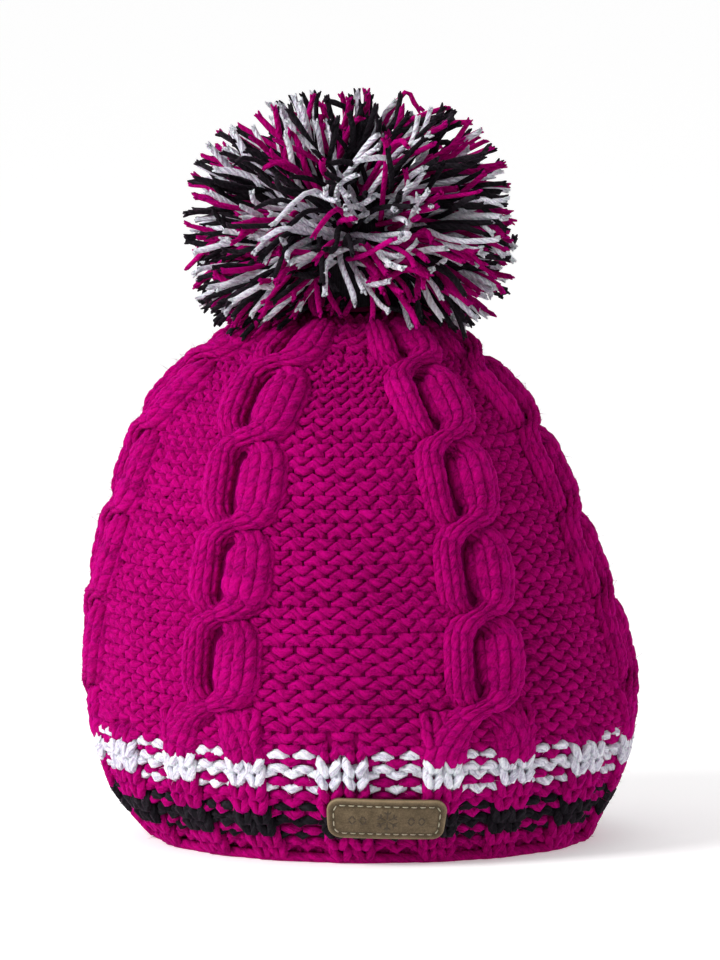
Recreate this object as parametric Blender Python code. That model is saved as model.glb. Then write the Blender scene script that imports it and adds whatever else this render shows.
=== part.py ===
"""Bobble hat standing on its hem: a cable-knit crown over a striped k2p2 ribbed brim, with a leather
label on the front of the brim and a cut-yarn pompom on top. Metres, +Z up, the front faces -Y.
The origin is on the surface that the hem stands on, below the middle of the brim."""

import math
import random

import bmesh
import bpy
import numpy as np
from mathutils import Euler, Vector

# The knit ground, which is the plain fabric between the cables
GROUND_WIDTH = 0.184  # across X at its widest
GROUND_DEPTH = 0.1905  # across Y at its widest
CROWN_HEIGHT = 0.186  # from the hem's underside to the crown's flat top
WALL = 0.007  # thickness of the chunky fabric
GAP = 0.0003  # between pieces that rest on each other
SEAT_RADIUS = 0.012  # the flat that the crown is gathered to

# Outline of the ground. height is a share of CROWN_HEIGHT and width a share of GROUND_WIDTH,
# lean is the sideways sag of the crown as a share of GROUND_WIDTH
OUTLINE = (
    # height, width, lean
    (0.000, 0.808, 0.024),
    (0.037, 0.862, 0.014),
    (0.093, 0.940, 0.006),
    (0.150, 0.984, 0.006),
    (0.210, 1.014, 0.005),
    (0.290, 1.000, 0.000),
    (0.400, 0.977, -0.012),
    (0.513, 0.928, -0.025),
    (0.624, 0.861, -0.033),
    (0.735, 0.778, -0.040),
    (0.819, 0.683, -0.045),
    (0.876, 0.570, -0.043),
    (0.931, 0.441, -0.036),
    (0.965, 0.336, -0.029),
    (0.987, 0.226, -0.024),
)
TOP_LEAN = -0.020  # lean of the crown's flat top

# Cables: pairs of strands, where the one from the upper right crosses over the other. Angles are in
# degrees from the front, seen from above, and grow towards +X
CABLES = (
    # at the brim, at the shoulder
    (-94, -74),
    (-35, -27),
    (26, 33),
    (88, 75),
    (148, 140),
    (207, 214),
)
SHOULDER = 0.72  # share of the outline's length where the cables stop drifting
CABLE_WIDTH = 0.033
CABLE_RISE = 0.0055  # of a strand above the ground
CROSSING_RISE = 0.0015  # more, where one strand lies over the other
SLIT_DEPTH = 0.0006  # how far the ground dips between two strands
CROSSING_PITCH = 0.0312  # along the outline
FIRST_CROSSING = 0.0165  # above the brim
CROSSING_SHARE = 0.42  # of the pitch, the stretch that a crossing takes
STRAND_SHARE = 0.43  # half a strand's width, as a share of half the cable's
STRAND_PLACE = 0.57  # a strand's middle between two crossings, as the same share
CABLE_FADE = (0.020, 0.038)  # radii of the crown between which the cables flatten
WIDEST_CABLE = 0.7  # of a pitch, where the crown narrows

# Brim: k2p2 ribs, each two knit columns proud of two purl ones
BRIM_HEIGHT = 0.043  # along the outline
RIBS_PER_PITCH = 3
RIB_RISE = 0.002
HEM_ROUND = 0.002  # the hem's rounded lower edge
BANDS = (
    # name, share of the brim's height, yarn
    ("hem_band", 0.26, "magenta"),
    ("stripe_black", 0.26, "black"),
    ("band_upper", 0.22, "magenta"),
    ("stripe_white", 0.26, "white"),
)
RIB = (
    # place in the rib's pitch, share of RIB_RISE
    (0.29, 1),
    (0.71, 1),
    (0.81, 0),
    (1.19, 0),
)

# Leather label, sewn to the front of the brim
LABEL_LENGTH = 0.0395
LABEL_HEIGHT = 0.0146
LABEL_THICKNESS = 0.0016
LABEL_CORNER = 0.0042
LABEL_PLACE = 0.52  # of the brim's height, to the label's middle
LABEL_ANGLE = math.radians(5.0)  # from the front, towards +X
LABEL_TILT = math.radians(-2.2)
LABEL_GAP = 0.0004  # between the label and the crests of the ribs

# Pompom: a core of bound yarn with cut locks all round
POMPOM_WIDTH = 0.113
POMPOM_ABOVE = 0.050  # locks above the middle
POMPOM_BELOW = 0.042  # locks below the middle, which drape over the crown
POMPOM_MIDDLE = 0.020  # above the crown's top
POMPOM_TURN = (0.5, 0.3, 0.4)  # of the locks' pattern about X, Y and Z, in radians
CORE_SHARE = 0.66  # of the pompom's size
LOCKS_PER_SIDE = 5  # locks along each side of the cube that the core is rounded from
LOCK_PARTING = 0.0012  # between the roots of two locks
LOCK_SWAY = 0.07  # share of a side by which the locks' corners stray
LOCK_SPREAD = 0.07  # share by which lock lengths differ
LOCK_RAGGED = 0.10  # share by which the corners of one lock's cut end differ
LOCK_CLEARANCE = 0.0008  # between a lock and the crown
SHORTEST_LOCK = 0.0015
LOCK_STEP = 0.0005  # in which a lock is drawn out until it would meet the crown
LOCK_SEED = 7

YARNS = {
    "magenta": (0.50, 0.002, 0.165),
    "black": (0.012, 0.011, 0.013),
    "white": (0.80, 0.78, 0.80),
    "mixed": (0.25, 0.03, 0.10),
}
LEATHER = (0.16, 0.105, 0.055)
YARN_ROUGHNESS = 0.95
LEATHER_ROUGHNESS = 0.6

# How finely the surfaces are cut
OUTLINE_SAMPLES = 1500
CABLE_COLUMNS = (-1.0, -0.82, -0.57, -0.28, 0.0, 0.28, 0.57, 0.82, 1.0)  # places across half a cable
PANEL_COLUMNS = 2  # inside each plain panel
ROWS_PER_CROSSING = 6
OUTER_TO_INNER_ROWS = 4
FEWEST_ROWS = 8
LABEL_COLUMNS = 20
LABEL_ROWS = 3
SHARP_EDGE = math.radians(50)


def smooth_through(xs, ys, x):
    """Cubic through the points, with each point's slope taken from its neighbours."""
    xs = np.asarray(xs, float)
    ys = np.asarray(ys, float)
    slopes = np.gradient(ys, xs)
    i = np.clip(np.searchsorted(xs, x) - 1, 0, len(xs) - 2)
    step = xs[i + 1] - xs[i]
    t = np.clip((x - xs[i]) / step, 0, 1)
    first = (1 + 2 * t) * (1 - t) ** 2 * ys[i] + t * t * (3 - 2 * t) * ys[i + 1]
    return first + step * t * (1 - t) * ((1 - t) * slopes[i] - t * slopes[i + 1])


def ease(t):
    """0 to 1, level at both ends."""
    t = np.clip(t, 0, 1)
    return t * t * (3 - 2 * t)


class Outline:
    """The ground's side view: radius, height, lean and outward slope at a length along it from the hem."""

    def __init__(self):
        rows = [*OUTLINE, (1.0, 2 * SEAT_RADIUS / GROUND_WIDTH, TOP_LEAN)]
        height, width, lean = np.array(rows).T
        share = np.linspace(0, 1, OUTLINE_SAMPLES)
        self.z = share * CROWN_HEIGHT
        self.radius = smooth_through(height, width, share) * GROUND_WIDTH / 2
        self.lean = smooth_through(height, lean, share) * GROUND_WIDTH
        steps = np.hypot(np.diff(self.z), np.diff(self.radius))
        self.length = np.concatenate([[0], np.cumsum(steps)])
        rise = np.gradient(self.z, self.length)
        run = np.gradient(self.radius, self.length)
        size = np.hypot(rise, run)
        self.out = rise / size  # sideways part of the outward normal
        self.up = -run / size  # its upward part

    def total(self):
        return self.length[-1]

    def at(self, length):
        return [
            float(np.interp(length, self.length, column))
            for column in (self.radius, self.z, self.lean, self.out, self.up)
        ]

    def length_at_height(self, z):
        return float(np.interp(z, self.z, self.length))

    def point(self, angle, length, proud):
        """On the ground at this angle from the front, or proud of it along its normal."""
        radius, z, lean, out, up = self.at(length)
        depth = GROUND_DEPTH / GROUND_WIDTH
        return Vector(
            (
                lean + (radius + proud * out) * math.sin(angle),
                -(radius * depth + proud * out) * math.cos(angle),
                z + proud * up,
            )
        )


def cable_angles(outline, length):
    """Each cable's middle at this length along the outline, and the pitch to the next one."""
    share = (length - BRIM_HEIGHT) / (SHOULDER * outline.total() - BRIM_HEIGHT)
    drift = math.sin(math.pi / 2 * min(max(share, 0), 1))
    middles = [math.radians(low + (high - low) * drift) for low, high in CABLES]
    following = middles[1:] + [middles[0] + 2 * math.pi]
    return [(middle, after - middle) for middle, after in zip(middles, following)]


def strand_profile(across, along):
    """Rise of a cable over the ground. across runs from -1 to 1 over its width, along is metres above
    the first crossing. The strand that comes from the upper right lies on top."""
    crossing = along / CROSSING_PITCH
    nearest = round(crossing)
    past = (crossing - nearest) / (CROSSING_SHARE / 2)
    swing = 2 * ease((past + 1) / 2) - 1  # -1 below the crossing, 1 above it
    tight = math.exp(-(past**2))
    rises = []
    for side, on_top in ((1, True), (-1, False)):
        away = (across - side * swing * STRAND_PLACE) / STRAND_SHARE
        lift = CABLE_RISE + (CROSSING_RISE if on_top else -CABLE_RISE / 2) * tight
        rises.append(lift * math.sqrt(max(0.0, 1 - away * away)))
    return max(max(rises), -SLIT_DEPTH)


def cable_fade(radius):
    """1 where the cables stand fully proud, 0 where the crown is gathered."""
    return ease((radius - CABLE_FADE[0]) / (CABLE_FADE[1] - CABLE_FADE[0]))


def crown_columns(outline, length):
    """(angle, place across a cable or None) of each column of the crown at this length."""
    radius = outline.at(length)[0]
    half = min(CABLE_WIDTH / 2 / radius, WIDEST_CABLE * math.pi / len(CABLES))
    found = []
    for middle, pitch in cable_angles(outline, length):
        found += [(middle + half * across, across) for across in CABLE_COLUMNS]
        plain = pitch - 2 * half
        for i in range(PANEL_COLUMNS):
            share = (i + 1) / (PANEL_COLUMNS + 1)
            found.append((middle + half + plain * share, None))
    return found


def crown_ring(outline, length):
    """Outer ring of the crown at this length, with the cables' relief."""
    fade = cable_fade(outline.at(length)[0])
    along = length - BRIM_HEIGHT - FIRST_CROSSING
    ring = []
    for angle, across in crown_columns(outline, length):
        rise = 0.0 if across is None else fade * strand_profile(across, along)
        ring.append(outline.point(angle, length, rise))
    return ring


def inner_ring(outline, length):
    """Ring on the crown's inner side at this length."""
    return [outline.point(angle, length, -WALL) for angle, _ in crown_columns(outline, length)]


def loft(name, rings, closed):
    """Skins the rings in order. closed joins the last ring to the first, otherwise both ends are capped."""
    shape = bmesh.new()
    grid = [[shape.verts.new(point) for point in ring] for ring in rings]
    pairs = list(zip(grid, grid[1:]))
    if closed:
        pairs.append((grid[-1], grid[0]))
    for lower, upper in pairs:
        count = len(lower)
        for i in range(count):
            j = (i + 1) % count
            shape.faces.new((lower[i], lower[j], upper[j], upper[i]))
    if not closed:
        shape.faces.new(list(reversed(grid[0])))
        shape.faces.new(grid[-1])
    bmesh.ops.recalc_face_normals(shape, faces=shape.faces)
    mesh = bpy.data.meshes.new(name)
    shape.to_mesh(mesh)
    shape.free()
    return mesh


def add_piece(name, mesh, material):
    mesh.materials.append(material)
    mesh.shade_smooth()
    mesh.set_sharp_from_angle(angle=math.radians(50))
    piece = bpy.data.objects.new(name, mesh)
    bpy.context.scene.collection.objects.link(piece)
    return piece


def make_material(name, colour, roughness):
    material = bpy.data.materials.new(name)
    material.use_nodes = True
    shader = material.node_tree.nodes["Principled BSDF"]
    shader.inputs["Base Color"].default_value = (*colour, 1)
    shader.inputs["Roughness"].default_value = roughness
    shader.inputs["Metallic"].default_value = 0
    return material


def build_crown(outline, material):
    """One shell from the brim to the flat top, open below."""
    start = BRIM_HEIGHT + GAP / 2
    end = outline.total()
    rows = max(FEWEST_ROWS, round((end - start) * ROWS_PER_CROSSING / CROSSING_PITCH))
    outer = [crown_ring(outline, start + (end - start) * i / rows) for i in range(rows + 1)]
    inner_end = outline.length_at_height(CROWN_HEIGHT - WALL / 2)
    inner_rows = rows // OUTER_TO_INNER_ROWS
    inner = [
        inner_ring(outline, start + (inner_end - start) * i / inner_rows)
        for i in range(inner_rows + 1)
    ]
    rings = inner[::-1] + outer
    add_piece("crown", loft("crown", rings, closed=False), material)


def brim_ring(outline, length, rise, depth=0.0):
    """Ring of the brim at this length: ribs of this rise, at a depth below the ground."""
    ring = []
    for start, pitch in cable_angles(outline, length):
        width = pitch / RIBS_PER_PITCH
        for i in range(RIBS_PER_PITCH):
            for place, share in RIB:
                angle = start + (i + place) * width
                ring.append(outline.point(angle, length, rise * share - depth))
    return ring


def on_floor(ring, inset):
    """The ring laid flat on the floor, and drawn in towards the middle."""
    flat = [Vector((point.x, point.y, 0)) for point in ring]
    return [point - point.normalized() * inset for point in flat]


def build_band(outline, name, low, high, material):
    """One band of the brim."""
    inner = [brim_ring(outline, length, 0, WALL) for length in (high, low)]
    outer = [brim_ring(outline, length, RIB_RISE) for length in (low, (low + high) / 2, high)]
    add_piece(name, loft(name, inner + outer, closed=True), material)


def build_hem(outline, name, high, material):
    """The lowest band, flat underneath and rounded at its outer edge."""
    inner = [
        brim_ring(outline, high, 0, WALL),
        on_floor(brim_ring(outline, 0, 0), WALL - HEM_ROUND / 2),
    ]
    outer = [on_floor(brim_ring(outline, 0, RIB_RISE), HEM_ROUND / 2)]
    outer += [brim_ring(outline, length, RIB_RISE) for length in (HEM_ROUND, high / 2, high)]
    add_piece(name, loft(name, inner + outer, closed=True), material)


def build_brim(outline, materials):
    low = 0.0
    for name, share, yarn in BANDS:
        high = low + share * BRIM_HEIGHT
        if low == 0:
            build_hem(outline, name, high - GAP / 2, materials[yarn])
        else:
            build_band(outline, name, low + GAP / 2, high - GAP / 2, materials[yarn])
        low = high


def build_label(outline, material):
    """A curved plate with rounded corners, on the crests of the ribs."""
    centre = LABEL_PLACE * BRIM_HEIGHT
    back = RIB_RISE + LABEL_GAP
    straight = LABEL_LENGTH / 2 - LABEL_CORNER
    radius = outline.at(centre)[0]
    level, slope = math.cos(LABEL_TILT), math.sin(LABEL_TILT)

    def place(along, up, proud):
        across = along * level - up * slope
        length = centre + along * slope + up * level
        return outline.point(LABEL_ANGLE + across / radius, length, proud)

    rings = []
    for i in range(LABEL_COLUMNS + 1):
        share = -math.cos(math.pi * i / LABEL_COLUMNS)
        along = share * LABEL_LENGTH / 2
        past = max(0.0, abs(along) - straight)
        half = LABEL_HEIGHT / 2 - LABEL_CORNER + math.sqrt(max(0.0, LABEL_CORNER**2 - past**2))
        ups = [half * (2 * j / LABEL_ROWS - 1) for j in range(LABEL_ROWS + 1)]
        ring = [place(along, up, back) for up in ups]
        ring += [place(along, up, back + LABEL_THICKNESS) for up in reversed(ups)]
        rings.append(ring)
    add_piece("label", loft("label", rings, closed=False), material)


def crown_top(outline, point, clearance):
    """Height that a piece may come down to over this point, clear of the crown and its cables."""
    upper = outline.z > CROWN_HEIGHT / 2
    radius = outline.radius[upper]
    proud = (CABLE_RISE + CROSSING_RISE) * cable_fade(radius) + clearance
    reach = radius + proud * outline.out[upper]
    height = outline.z[upper] + proud * outline.up[upper]
    lean = np.interp(point.z, outline.z, outline.lean)
    sideways = math.hypot(point.x - lean, point.y * GROUND_WIDTH / GROUND_DEPTH)
    return float(np.interp(sideways, reach[::-1], height[::-1]))


def lock_tip(direction, length_share):
    """Tip of a lock from the pompom's middle, on an ellipsoid that is flatter than it is wide."""
    tall = POMPOM_ABOVE if direction.z > 0 else POMPOM_BELOW
    size = Vector((POMPOM_WIDTH / 2, POMPOM_WIDTH / 2, tall))
    flat = Vector((direction.x / size.x, direction.y / size.y, direction.z / size.z))
    return direction * length_share / flat.length


def free_length(outline, foot, way, length):
    """How far a lock's corner can be drawn from its foot before it meets the crown."""
    free = 0.0
    while free < length:
        end = foot + way * (free + LOCK_STEP)
        if end.z < crown_top(outline, end, LOCK_CLEARANCE):
            return free
        free += LOCK_STEP
    return length


def build_pompom(outline, material):
    """A core with a flat seat on the crown. Each face of the core is drawn out into a cut lock."""
    lean = outline.at(outline.total())[2]
    middle = Vector((lean, 0, CROWN_HEIGHT + POMPOM_MIDDLE))
    seat = CROWN_HEIGHT + GAP
    turn = Euler(POMPOM_TURN)
    draw = random.Random(LOCK_SEED)
    shape = bmesh.new()
    bmesh.ops.create_cube(shape, size=2)
    bmesh.ops.subdivide_edges(
        shape, edges=list(shape.edges), cuts=LOCKS_PER_SIDE - 1, use_grid_fill=True
    )
    for vertex in shape.verts:
        sway = [LOCK_SWAY * (2 * draw.random() - 1) for _ in vertex.co]
        direction = Vector([math.tan(c * math.pi / 4) + s for c, s in zip(vertex.co, sway)])
        direction.rotate(turn)
        vertex.co = middle + lock_tip(direction.normalized(), CORE_SHARE)
        vertex.co.z = max(vertex.co.z, seat, crown_top(outline, vertex.co, LOCK_CLEARANCE))
    core = list(shape.faces)
    bmesh.ops.recalc_face_normals(shape, faces=core)
    bmesh.ops.inset_individual(shape, faces=core, thickness=LOCK_PARTING / 2, use_even_offset=True)
    for root in core:
        share = 1 + LOCK_SPREAD * (2 * draw.random() - 1)
        tips = []
        for corner in root.verts:
            way = (corner.co - middle).normalized()
            full = lock_tip(way, share).length - (corner.co - middle).length
            full *= 1 + LOCK_RAGGED * (2 * draw.random() - 1)
            tips.append(corner.co + way * free_length(outline, corner.co, way, full))
        if min((tip - v.co).length for tip, v in zip(tips, root.verts)) < SHORTEST_LOCK:
            continue
        drawn = bmesh.ops.extrude_discrete_faces(shape, faces=[root])["faces"][0]
        for vertex, tip in zip(drawn.verts, tips):
            vertex.co = tip
    mesh = bpy.data.meshes.new("pompom")
    shape.to_mesh(mesh)
    shape.free()
    add_piece("pompom", mesh, material)


def main():
    for thing in list(bpy.data.objects):
        bpy.data.objects.remove(thing)
    yarns = {
        name: make_material(f"yarn_{name}", colour, YARN_ROUGHNESS)
        for name, colour in YARNS.items()
    }
    outline = Outline()
    build_crown(outline, yarns["magenta"])
    build_brim(outline, yarns)
    build_label(outline, make_material("leather", LEATHER, LEATHER_ROUGHNESS))
    build_pompom(outline, yarns["mixed"])


main()
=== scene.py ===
import math

import bpy
import numpy as np
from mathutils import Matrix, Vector


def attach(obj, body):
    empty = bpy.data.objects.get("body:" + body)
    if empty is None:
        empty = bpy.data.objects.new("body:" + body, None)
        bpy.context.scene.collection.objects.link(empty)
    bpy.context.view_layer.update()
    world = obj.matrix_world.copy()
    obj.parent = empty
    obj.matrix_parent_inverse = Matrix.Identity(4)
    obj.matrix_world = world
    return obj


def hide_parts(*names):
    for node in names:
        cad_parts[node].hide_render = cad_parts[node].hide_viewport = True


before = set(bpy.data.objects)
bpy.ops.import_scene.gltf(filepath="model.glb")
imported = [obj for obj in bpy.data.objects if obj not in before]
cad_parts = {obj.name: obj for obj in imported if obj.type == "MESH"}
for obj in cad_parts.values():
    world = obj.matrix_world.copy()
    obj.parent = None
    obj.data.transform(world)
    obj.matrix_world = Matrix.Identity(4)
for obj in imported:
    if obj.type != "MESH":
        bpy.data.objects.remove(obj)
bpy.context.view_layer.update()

# The knit ground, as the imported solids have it: sizes in metres, shares as in its outline
GROUND_WIDTH = 0.184
GROUND_DEPTH = 0.1905
CROWN_HEIGHT = 0.186
SEAT_RADIUS = 0.012
BRIM_HEIGHT = 0.043
OUTLINE = (
    # height, width, lean
    (0.000, 0.808, 0.024),
    (0.037, 0.862, 0.014),
    (0.093, 0.940, 0.006),
    (0.150, 0.984, 0.006),
    (0.210, 1.014, 0.005),
    (0.290, 1.000, 0.000),
    (0.400, 0.977, -0.012),
    (0.513, 0.928, -0.025),
    (0.624, 0.861, -0.033),
    (0.735, 0.778, -0.040),
    (0.819, 0.683, -0.045),
    (0.876, 0.570, -0.043),
    (0.931, 0.441, -0.036),
    (0.965, 0.336, -0.029),
    (0.987, 0.226, -0.024),
)
TOP_LEAN = -0.020

# Yarn and loops of the plain fabric
WALES_PER_PITCH = 12  # stitches from one cable's middle to the next
YARN = 0.0017  # radius
LOOP_LEAN = 0.18  # how far a loop's legs lean, in wales
LEG_LEAN = 0.05  # how much more the legs lean where they show
LOOP_FLATNESS = 0.03  # of a loop's head and foot, where 0 is a plain wave
HEAD_SINK = 0.0026  # of the heads where knit stitches end below purl ones
CROWN_REACH = 0.86  # half a loop's height, in rows
BRIM_REACH = 0.78
LOOP_DEPTH = 0.0017  # half of how far a loop runs through the fabric
STITCH_POINTS = 10
YARN_SIDES = 6
YARN_SHARE = 0.27  # the yarn's largest radius, as a share of a wale's width
PATTERN_SHIFT = 7.3  # of the yarn's surface pattern from one tube to the next
CROWN_ROW = 0.0048
BRIM_ROW = 0.0051
ROWS_PER_BAND = 2
FIRST_BRIM_ROW = 0.87  # rows from the hem to the middle of the first
FIRST_CROWN_ROW = 0.47  # rows from the brim to the middle of the first
FIRST_CROWN_RISE = 0.3  # of the ribs' rise, where they end in the crown
RIB_RISE = 0.002
RIB_WALES = 4
RIB_HALF = 1.12  # half of a rib's width, in wales
RIB_SOFTNESS = 0.24  # wales over which a rib's sides rise
PANEL_HALF = 2  # wales on both sides of a panel's middle without ribs above the brim
GATHER_RADIUS = 0.040  # above it two stitches are knitted together
TOP_RADIUS = 0.020  # the fabric is drawn together here, under the pompom

# How loops differ from one another
LOOP_STRAY = 0.05  # aside, in wales
ROW_STRAY = 0.06  # up and down, in rows
SIZE_SPREAD = 0.09  # in height
LIFT_SPREAD = 0.0003  # in how far they stand out
YARN_SPREAD = 0.03  # in thickness
TONE = 0.5  # the yarn's middle tone
TONE_SPREAD = 0.22

# Cast-on edge of the hem, and the backing behind the loops
EDGE_POINTS = 6  # in each wale
EDGE_YARN = 1.08  # of the yarn's radius
EDGE_SWELL = 0.06
EDGE_WAVE = 0.0003
EDGE_RISE = 0.5  # of the ribs' rise
EDGE_TONE = 0.45
BACKING_COLUMNS = 96
BACKING_ROWS = 44
BACKING_OVERLAP = 0.0002  # with the loops' inner half
BACKING_WALL = 0.0008
BACKING_FOOT = 0.0005  # above the surface that the hem stands on

# Loose fibres of the wool
FUZZ_LENGTH = 0.0032
FUZZ_WIDTH = 0.00018
FUZZ_CENTRE = 0.07  # height of the point that outward is measured from
FUZZ_FACING = 0.25  # least slope of the yarn's surface towards the outside
FUZZ_LIFT = 0.55  # how far a fibre stands off the yarn
FUZZ_BEND = 0.4
FUZZ_SHORTEST = 0.4  # of the length
FUZZ_POINTS = 4  # along a fibre
# The fibres' tone, above the yarn's middle tone: painted sheen on the loose fibres
FUZZ_PAINTED_SHEEN_TONE = 0.95
FUZZ_TONE_SPREAD = 0.25
BRIM_FUZZ = 900  # fibres on each band
CROWN_FUZZ = 15000
CABLE_FUZZ = 1800  # on each cable

# Cables: two strands that cross over one another
CABLES = (
    # degrees from the front: at the brim, at the shoulder
    (-94, -74),
    (-35, -27),
    (26, 33),
    (88, 75),
    (148, 140),
    (207, 214),
)
SHOULDER = 0.72  # of the outline's length
CABLE_DRAW = 0.86  # how far a cable draws the stitches at its sides together
CROSSING_PITCH = 0.0312
FIRST_CROSSING = 0.0165  # above the brim
CROSSING_STEEPNESS = 7.0
LOBES = (
    # strand's middle from the cable's between two crossings, half of its width, lean in degrees
    (-0.0098, 0.0040, 26),
    (0.0080, 0.0066, 0),
)
FOOT_PLACE = 0.0140  # a strand's middle from the cable's at the brim
FOOT_HALF = 0.0064
OVER_RISE = 0.0015
UNDER_DROP = 0.00275
NECK_HALF = 0.0022  # half of a strand's width where it crosses
STRAND_BASE = -0.0025  # level of a strand's sides
STRAND_HEIGHT = 0.0046
STRAND_START = 0.002  # of a strand, below the crown's edge
STRAND_STEP = 0.0006  # between the points of a strand's middle line
FOOT_DROP = 0.0018  # how much lower a strand lies at the brim
FOOT_FLATNESS = 0.35  # how much less high it is there
STRAND_WALES = 3
STRAND_ROW = 0.0054
STRAND_REACH = 0.72  # half a stitch's height, in rows
STRAND_STRAY = 0.05  # of stitches up and down, in rows
STRAND_LEAN = 0.10  # how far a stitch's legs lean, in wales
STRAND_WRAP = math.radians(100)  # from the crest of a strand to its sides
STRAND_DEPTH = 0.0005  # half of how far a stitch runs in and out
STRAND_LIFT = 0.00012  # by which rows stand more or less proud
STRAND_YARN = 0.0026
STRAND_YARN_SHARE = 0.42  # the yarn's largest radius, of half a strand's width
STRAND_TONE_SPREAD = 0.12
CABLE_TOP_RADIUS = 0.026
NARROWING_RADIUS = 0.045  # of the crown, where the cables begin to narrow
COVERED = (0.003, 0.0125)  # half of the fabric's width that a cable hides, at a crossing and between

# Pompom
POMPOM_MIDDLE = 0.020  # above the crown's top
POMPOM_SIDE = 0.0555
POMPOM_ABOVE = 0.0500
POMPOM_BELOW = 0.0420
POMPOM_SQUARENESS = (2.6, 2.3)  # above and below the middle, where 2 would be an ellipse
POMPOM_REACH = 0.91  # of the form, to the end of a middling strand
CLUMPS = 165
LOWEST_CLUMP = -0.86  # slope from the middle
CLUMP_SPREAD = 0.10
STRANDS_PER_CLUMP = 9
STRAND_SPREAD = 0.12
FRONT_SHARE = 0.88  # how far strands point to the front or the back, against the sides
YARN_SHARES = (0.39, 0.29, 0.32)  # black, magenta, white
LEADING_SHARE = 0.40  # of a clump's strands that are all of one yarn
COMB_ASIDE = 0.7  # how far the front and the back are combed to the sides
COMB_DOWN = 0.2
COMB_MIXING = 0.35
CLUMP_SWAY = 0.30
STRAND_SWAY = 0.12
SAG = 0.15
DROOP = 0.22
DROOP_SLOPE = 0.35  # strands below this slope droop
CURL = 0.07
CURL_TURNS = 7  # radians along a strand
CURL_START = 6  # radians by which strands differ
CLUMP_LENGTHS = 0.09  # by which clumps differ in length
STRAND_LENGTHS = 0.07
LENGTH_LIMITS = (-0.35, 0.13)
ROOT_SHARE = 0.15  # of a strand's length, where it starts
ROOT_SPREAD = (0.005, 0.005, 0.003)
CROWN_CLEARANCE = 0.0045  # of a strand's middle
STRAND_RADIUS = 0.00100
STRAND_RADIUS_SPREAD = 0.08
STRAND_ENDS = (1.08, 0.9)  # of the radius, at the last two points
STRAND_STEPS = 11
STRAND_SIDES = 5
STRAND_TONES = 0.15

# Loose plies at the strands' cut ends
FRAY_PLIES = 3
FRAY_START = 0.001  # before the cut end
FRAY_OFFSET = 0.55  # of the strand's radius, from its middle
FRAY_LENGTH = 0.0022
FRAY_LENGTHS = (0.6, 0.5)  # share that all have, and share that differs
FRAY_SPREAD = 0.0008
FRAY_CURVE = 1.5  # power by which the plies part
FRAY_RADII = (0.00062, 0.00060, 0.00050, 0.00025)
FRAY_SIDES = 4

# The pompom's bound core
CORE_COLUMNS = 40
CORE_ROWS = 20
CORE_POLE = 0.02  # radians left open at both poles
CORE_SHARE = 0.36  # of the pompom's form
CORE_SHARE_BELOW = 0.30  # more, straight down
CORE_LUMPS = 0.05
CORE_SEAT = -0.45  # the core rests on the crown below this slope from its middle
CORE_CLEARANCE = 0.002
CORE_PATTERN = 400  # of the yarn's surface pattern to a metre

# Leather label
LABEL_LENGTH = 0.0395
LABEL_HEIGHT = 0.0146
LABEL_THICKNESS = 0.0016
LABEL_CORNER = 0.0042
LABEL_PLACE = 0.52  # of the brim's height, to the label's middle
LABEL_ANGLE = math.radians(5.0)
LABEL_TILT = math.radians(-2.2)
LABEL_GAP = 0.0004  # between the label and the crests of the ribs
LABEL_BACK = RIB_RISE + LABEL_GAP
LABEL_COLUMNS = 110
LABEL_ROWS = 44
LABEL_ROUNDING = 0.0005
RIM_WIDTH = 0.0006
SEAM_INSET = 0.0022
SEAM_PITCH = 0.0029
LABEL_TONE = 0.35
RIM_TONE = 0.55  # brighter
SEAM_TONE = 0.2  # darker
BACK_TONE = 0.3
SEAM_START = 0.2  # of the pitch
SEAM_STITCH = 0.62  # of the pitch
SEAM_THREAD = 0.00024  # radius
SEAM_SINK = 0.00010
SEAM_GROOVE = 0.0003
SEAM_GROOVE_WIDTH = 0.0005
STAMP_ARM = 0.0042
STAMP_TWIG = 0.36  # of an arm's length
TWIG_PLACE = 0.55  # of an arm's length
TWIG_TURN = 0.9  # radians between a twig and its arm
STAMP_LINE = 0.00036  # radius
STAMP_SINK = 0.00018
DIAMONDS = (-0.0115, -0.0080, 0.0080, 0.0115)  # from the label's middle
DIAMOND_HALF = np.array([0.0012, 0.0016])

# Picture
SENSOR_MM = 36
IMAGE_ROWS = 960
ROW_METRES = 0.0003455  # height of one row of the picture at the hat
CAMERA_ELEVATION = math.radians(6.3)
CAMERA_DISTANCE = 6.0
CAMERA_TARGET = (-0.0003, 0, 0.1234)
LIGHT_TARGET = (0, 0, 0.11)
FLOOR_HALF = 40.0

PITCHES = len(CABLES)
WALES = WALES_PER_PITCH * PITCHES
rng = np.random.default_rng(11)


def smooth_through(xs, ys, x):
    """Cubic through the points, with each point's slope taken from its neighbours."""
    slopes = np.gradient(ys, xs)
    i = np.clip(np.searchsorted(xs, x) - 1, 0, len(xs) - 2)
    step = xs[i + 1] - xs[i]
    t = np.clip((x - xs[i]) / step, 0, 1)
    first = (1 + 2 * t) * (1 - t) ** 2 * ys[i] + t * t * (3 - 2 * t) * ys[i + 1]
    return first + step * t * (1 - t) * ((1 - t) * slopes[i] - t * slopes[i + 1])


def ease(t):
    """0 to 1, level at both ends."""
    t = np.clip(t, 0, 1)
    return t * t * (3 - 2 * t)


def unit(v):
    return v / np.maximum(np.linalg.norm(v, axis=-1, keepdims=True), 1e-12)


def smoothed(values):
    """Each value of a closed run, softened with its neighbours."""
    return (np.roll(values, 1) + 2 * values + np.roll(values, -1)) / 4


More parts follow.
